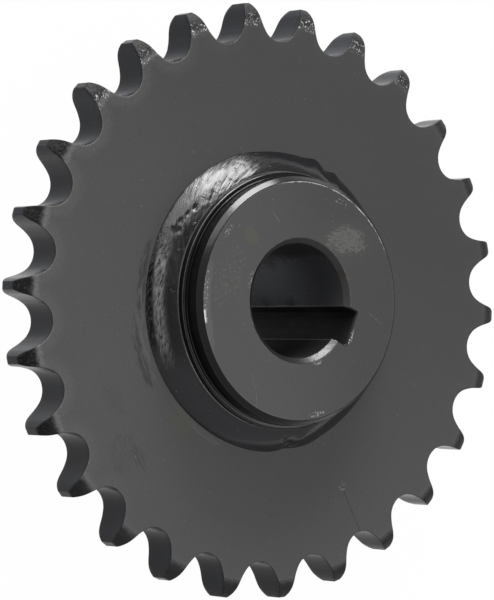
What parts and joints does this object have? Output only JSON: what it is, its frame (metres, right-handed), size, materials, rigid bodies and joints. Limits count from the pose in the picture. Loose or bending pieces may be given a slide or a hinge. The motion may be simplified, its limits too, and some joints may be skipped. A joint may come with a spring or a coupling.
{
  "type": "chain sprocket",
  "caption": "Roller chain sprocket: a bevelled, toothed steel plate welded on both sides to a turned hub with a plain bore and a keyway.",
  "frame": {"origin": "on the bore's axis at the hub's back end face, on which the part stands", "axes": "+Z along the bore towards the hub's front end, +X through the middle of the keyway and of the tooth gap beside it"},
  "size_m": [0.1666, 0.1676, 0.054],
  "materials": {
    "plate_paint": "satin black",
    "hub_paint": "satin black, rubbed to bare steel on the edges",
    "weld_paint": "glossy black over a rough bead"
  },
  "bodies": {
    "root": {"sprocket_plate": "plate_paint", "hub": "hub_paint", "front_weld_bead": "weld_paint", "back_weld_bead": "weld_paint"}
  },
  "joints": []
}
